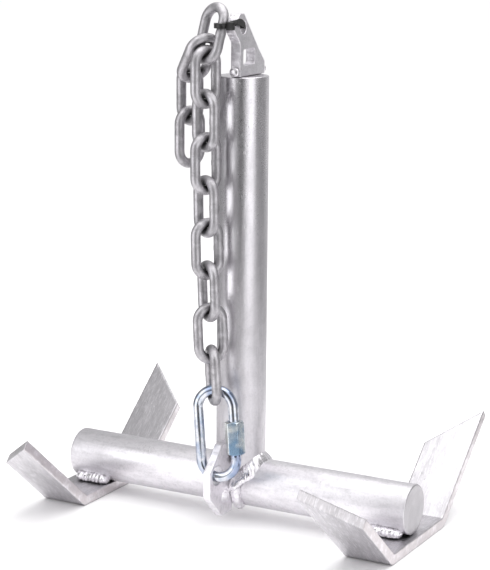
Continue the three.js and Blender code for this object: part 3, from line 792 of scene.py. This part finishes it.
def make_quick_link():
    """An open wire loop. Both ends at the mouth are threaded."""
    placed = quick_link_frame()
    middle, (width, _, up), halves = placed
    wire = QUICK_WIRE / 2
    end_radius = halves[0] - wire
    half_leg = halves[2] - wire - end_radius
    total = 4 * half_leg + 2 * math.pi * end_radius
    leg = [
        (Vector(v.co) - middle).dot(up)
        for v in frame["nodes"]["quick_link"].data.vertices
        if (Vector(v.co) - middle).dot(width) > end_radius - wire / 2
    ]
    above = min(z for z in leg if z > MOUTH_LEVEL)
    below = max(z for z in leg if z < MOUTH_LEVEL)

    def radius_at(run, angle, point):
        if run > total / 2:
            run -= total
        over, under = abs(run - above), abs(run - below)
        to_mouth = min(over, under)
        thread_left = THREAD_ABOVE - over if over < under else THREAD_BELOW - under
        inside = max(0.0, min(1.0, thread_left / THREAD_PITCH))
        turn = (run / THREAD_PITCH - angle / (2 * math.pi)) % 1.0
        thread = THREAD_DEPTH * (1 - abs(2 * turn - 1)) * inside
        chamfer = THREAD_CHAMFER * max(0.0, 1 - to_mouth / THREAD_CHAMFER_LENGTH)
        return wire - WIRE_CLEARANCE - thread - chamfer + 0.015 * MM * noise.noise(point * 300)

    stations = loop_stations(end_radius, half_leg, above / total, 1 + below / total)
    mesh = loop_mesh("quick_link_finish", placed, stations, radius_at, False)
    return make_piece("quick_link_finish", mesh, zinc, ["quick_link"])


def make_sleeve_nut():
    """A long hexagonal nut with turned ends and a round bore."""
    _, (width, through, up), _ = quick_link_frame()
    points = node_points("sleeve_nut")
    reach = points @ np.array(up)
    length = float(reach.max() - reach.min())
    top = points[np.abs(reach - reach.max()) < 1e-5]
    top_middle = Vector(top.mean(0))
    bottom = top_middle - up * top_middle.dot(up) + up * float(reach.min())
    corner_way = max((Vector(p) - top_middle for p in top), key=lambda v: v.length)
    corner = corner_way.length
    corner_angle = math.atan2(corner_way.dot(through), corner_way.dot(width))
    flats = corner * math.cos(math.pi / 6)
    bore = QUICK_WIRE / 2 + NUT_BORE_CLEARANCE

    def hexagon(angle):
        local = (angle - corner_angle) % (math.pi / 3)
        sharp = flats / math.cos(local - math.pi / 6)
        return min(sharp, corner * NUT_CORNER)

    def ring(radius_of, height):
        points = []
        for j in range(NUT_SIDES):
            angle = 2 * math.pi * j / NUT_SIDES
            arm = width * math.cos(angle) + through * math.sin(angle)
            points.append(bottom + up * height + arm * radius_of(angle))
        return points

    def end_ring(share, height):
        """A ring of the turned edge, from the end's face at share 0 to the hexagon at 1."""
        turned = flats * NUT_TURNED
        limit = turned + (corner - turned) * share
        return ring(lambda angle: min(hexagon(angle), limit), height)

    def face_rings(height):
        return [ring(lambda _: bore + NUT_LEAD_IN, height), ring(lambda _: flats * NUT_FACE, height)]

    shares = [k / NUT_EDGE_STEPS for k in range(1, NUT_EDGE_STEPS + 1)]
    body = length - 2 * NUT_EDGE
    rings = face_rings(0)
    rings += [end_ring(share, NUT_EDGE * share) for share in shares]
    rings += [ring(hexagon, NUT_EDGE + body * k / NUT_BODY_STEPS) for k in range(1, NUT_BODY_STEPS)]
    rings += [end_ring(share, length - NUT_EDGE * share) for share in reversed(shares)]
    rings += reversed(face_rings(length))
    for k in range(NUT_BORE_STEPS, -1, -1):
        inside = NUT_BORE_INSET + (length - 2 * NUT_BORE_INSET) * k / NUT_BORE_STEPS
        rings.append(ring(lambda _: bore, inside))
    mesh = mesh_from_rings("sleeve_nut_finish", rings, True)
    return make_piece("sleeve_nut_finish", mesh, nut_zinc, ["sleeve_nut"])


# ---------------------------------------------------------------- cable tie


def merged_shape(node):
    """A CAD node's mesh for editing, with its flat faces whole."""
    shape = bmesh.new()
    shape.from_mesh(frame["nodes"][node].data)
    bmesh.ops.remove_doubles(shape, verts=shape.verts, dist=1e-6)
    bmesh.ops.dissolve_limit(shape, angle_limit=0.02, verts=shape.verts, edges=shape.edges)
    return shape


def bevelled(shape, name, width, sharper_than):
    """The shape as a mesh, with its edges that are sharper than an angle in degrees rounded."""
    sharp = [e for e in shape.edges if e.calc_face_angle(0) > math.radians(sharper_than)]
    bmesh.ops.bevel(
        shape,
        geom=sharp,
        offset=width,
        offset_type="OFFSET",
        segments=3,
        profile=0.5,
        affect="EDGES",
        clamp_overlap=True,
    )
    mesh = bpy.data.meshes.new(name)
    shape.to_mesh(mesh)
    shape.free()
    return mesh


def make_tie_strap():
    shape = merged_shape("cable_tie_strap")
    mesh = bevelled(shape, "cable_tie_strap_finish", STRAP_BEVEL, sharper_than=50)
    return make_piece("cable_tie_strap_finish", mesh, nylon, ["cable_tie_strap"])


def make_tie_head():
    """The tie's lock: a box with rounded edges and a sunk window over its pawl."""
    shape = merged_shape("cable_tie_head")
    middle = sum((v.co for v in shape.verts), Vector()) / len(shape.verts)
    level = [f for f in shape.faces if abs(f.normal.z) < 0.5]
    for face in sorted(level, key=lambda f: -f.calc_area())[:2]:
        away = (face.calc_center_median() - middle).normalized()
        for rim, rise in ((HEAD_RIM, -HEAD_WINDOW_DEPTH), (HEAD_RIDGE_RIM, HEAD_RIDGE_HEIGHT)):
            bmesh.ops.inset_individual(shape, faces=[face], thickness=rim, depth=0)
            bmesh.ops.translate(shape, verts=list(face.verts), vec=away * rise)
    mesh = bevelled(shape, "cable_tie_head_finish", HEAD_BEVEL, sharper_than=35)
    return make_piece("cable_tie_head_finish", mesh, nylon, ["cable_tie_head"])


# ---------------------------------------------------------------- studio


def make_floor():
    mesh = bpy.data.meshes.new("floor")
    corners = [(x * FLOOR_REACH, y * FLOOR_REACH, 0) for x, y in ((-1, -1), (1, -1), (1, 1), (-1, 1))]
    mesh.from_pydata(corners, [], [(0, 1, 2, 3)])
    floor = bpy.data.objects.new("floor", mesh)
    bpy.context.scene.collection.objects.link(floor)
    material = bpy.data.materials.new("floor_white")
    material.use_nodes = True
    shader = material.node_tree.nodes["Principled BSDF"]
    shader.inputs["Base Color"].default_value = FLOOR_COLOUR
    shader.inputs["Roughness"].default_value = 0.8
    mesh.materials.append(material)


def make_surround():
    """A low drum of light and dark panels round the anchor, which only reflections see."""
    points = []
    faces = []
    for k in range(DRUM_SIDES):
        angle = 2 * math.pi * k / DRUM_SIDES
        x, y = DRUM_RADIUS * math.cos(angle), DRUM_RADIUS * math.sin(angle)
        points += [(x, y, DRUM_FOOT), (x, y, DRUM_HEIGHT)]
        here, there = 2 * k, 2 * ((k + 1) % DRUM_SIDES)
        faces.append((here, there, there + 1, here + 1))
    mesh = bpy.data.meshes.new("surround")
    mesh.from_pydata(points, [], faces)
    glow = mesh.color_attributes.new("glow", "FLOAT_COLOR", "POINT")
    camera_way = CAMERA_AZIMUTH - math.pi / 2
    for i, point in enumerate(points):
        way = math.degrees(math.atan2(point[1], point[0]) - camera_way)
        light = DRUM_BASE
        for centre, width, strength in DRUM_PANELS:
            off = (way - centre + 180) % 360 - 180
            light += strength * math.exp(-((off / width) ** 4))
        glow.data[i].color = (light, light, light * 1.01, 1)
    drum = bpy.data.objects.new("surround", mesh)
    bpy.context.scene.collection.objects.link(drum)
    material = bpy.data.materials.new("surround_glow")
    material.use_nodes = True
    tree = material.node_tree
    tree.nodes.clear()
    shine = tree.nodes.new("ShaderNodeEmission")
    out = tree.nodes.new("ShaderNodeOutputMaterial")
    tree.links.new(shine.outputs["Emission"], out.inputs["Surface"])
    reader = tree.nodes.new("ShaderNodeVertexColor")
    reader.layer_name = "glow"
    tree.links.new(reader.outputs["Color"], shine.inputs["Color"])
    mesh.materials.append(material)
    drum.visible_camera = False
    drum.visible_diffuse = False
    drum.visible_shadow = False
    drum.visible_transmission = False


def make_ceiling():
    """A large soft light that faces straight down."""
    data = bpy.data.lights.new("overhead", "AREA")
    data.shape = "RECTANGLE"
    data.size, data.size_y = CEILING_SIZE
    data.energy = CEILING_WATTS
    lamp = bpy.data.objects.new("overhead", data)
    lamp.location = CEILING_PLACE
    lamp.rotation_euler = Vector((0, 0, -1)).to_track_quat("-Z", "Y").to_euler()
    bpy.context.scene.collection.objects.link(lamp)


def make_world():
    """White all round for the floor, and a dimmer room for reflections."""
    world = bpy.data.worlds.new("studio")
    bpy.context.scene.world = world
    world.use_nodes = True
    tree = world.node_tree
    back = tree.nodes["Background"]
    path = tree.nodes.new("ShaderNodeLightPath")
    pick = tree.nodes.new("ShaderNodeMapRange")
    pick.inputs["To Min"].default_value = FLOOR_LIGHT
    pick.inputs["To Max"].default_value = ROOM_IN_METAL
    tree.links.new(path.outputs["Is Glossy Ray"], pick.inputs["Value"])
    tree.links.new(pick.outputs["Result"], back.inputs["Strength"])
    back.inputs["Color"].default_value = (1, 0.995, 1, 1)


def make_camera():
    data = bpy.data.cameras.new("camera")
    data.sensor_width = 36
    data.lens = CAMERA_LENS
    data.shift_x = CAMERA_SHIFT_X
    camera = bpy.data.objects.new("camera", data)
    bpy.context.scene.collection.objects.link(camera)
    level = math.cos(CAMERA_ELEVATION)
    back = Vector(
        (math.sin(CAMERA_AZIMUTH) * level, -math.cos(CAMERA_AZIMUTH) * level, math.sin(CAMERA_ELEVATION))
    )
    right = Vector((0, 0, 1)).cross(back).normalized()
    up = back.cross(right)
    rolled_right = right * math.cos(CAMERA_ROLL) + up * math.sin(CAMERA_ROLL)
    rolled_up = up * math.cos(CAMERA_ROLL) - right * math.sin(CAMERA_ROLL)
    turn = Matrix((rolled_right, rolled_up, back)).transposed()
    camera.matrix_world = Matrix.Translation(CAMERA_TARGET + back * CAMERA_DISTANCE) @ turn.to_4x4()
    bpy.context.scene.camera = camera


# ---------------------------------------------------------------- the anchor

bar_zinc_z = galvanised("galvanised_shank", 0.78, 0.58, (1, 1, 0.16), (0.24, 0.36), foot_dulls=True)
# The crossbar's sawn ends get a darker grey than its side: painted shade in place of their dimmer
# reflection.
bar_zinc_x = galvanised("galvanised_crossbar", 0.90, 0.74, (0.3, 1, 1), x_faces=zinc_grey(0.46))
fluke_zinc = galvanised(
    "galvanised_fluke", 0.66, 0.47, (1, 0.12, 0.12), flecks=0.42, x_faces=(0.66, 0.62, 0.63, 1)
)
plate_zinc = galvanised("galvanised_plate", 0.92, 0.72, (1, 1, 1), grain=0.08, flecks=0.3)
weld_zinc = galvanised("galvanised_weld", 0.96, 0.74, (1, 1, 1), (0.22, 0.36), grain=0.08, flecks=0.4)
chain = chain_steel()
zinc = zinc_plate("zinc_plate", 0.10, (0.34, 0.39, 0.54, 1), (0.72, 0.73, 0.77, 1), 0.5)
# The nut's -X faces are painted pale: a painted reflection.
nut_zinc = zinc_plate(
    "zinc_plate_nut", 0.24, (0.22, 0.34, 0.48, 1), (0.76, 0.79, 0.78, 1), 0.5, painted_reflection_side=True
)
nylon = black_nylon()

make_camera()
make_world()
make_floor()
make_surround()
make_ceiling()

make_shank()
make_crossbar()
for fluke in ("fluke_left", "fluke_right"):
    make_fluke(fluke)
make_plate("eye_plate", EYE_PLATE_CUT)
make_plate("crown_plate", CROWN_PLATE_CUT)

make_foot_weld()
fluke_welds = [f"fluke_{side}_{face}_weld" for side in ("left", "right") for face in ("front", "back")]
for k, fluke_weld in enumerate(fluke_welds):
    make_box_bead(fluke_weld, AXIS_X, FLUKE_SEED + 1.7 * k, FLUKE_BEAD_FILL)
for k, side_name in enumerate(("left", "right")):
    make_crown_lower_weld(f"crown_plate_lower_weld_{side_name}", CROWN_LOWER_SEED + k)
    upper_weld = f"crown_plate_upper_weld_{side_name}"
    make_box_bead(upper_weld, AXIS_Z, CROWN_UPPER_SEED + k, CROWN_UPPER_FILL)
for k, face_name in enumerate(("front", "back")):
    make_box_bead(f"eye_plate_{face_name}_weld", AXIS_X, EYE_SEED + 1.3 * k, EYE_BEAD_FILL)

for k, link in enumerate(LINKS):
    make_link(link, LINK_SEED + k)
make_quick_link()
make_sleeve_nut()
make_tie_strap()
make_tie_head()

bpy.context.scene.view_settings.view_transform = "Standard"

bpy.context.view_layer.update()
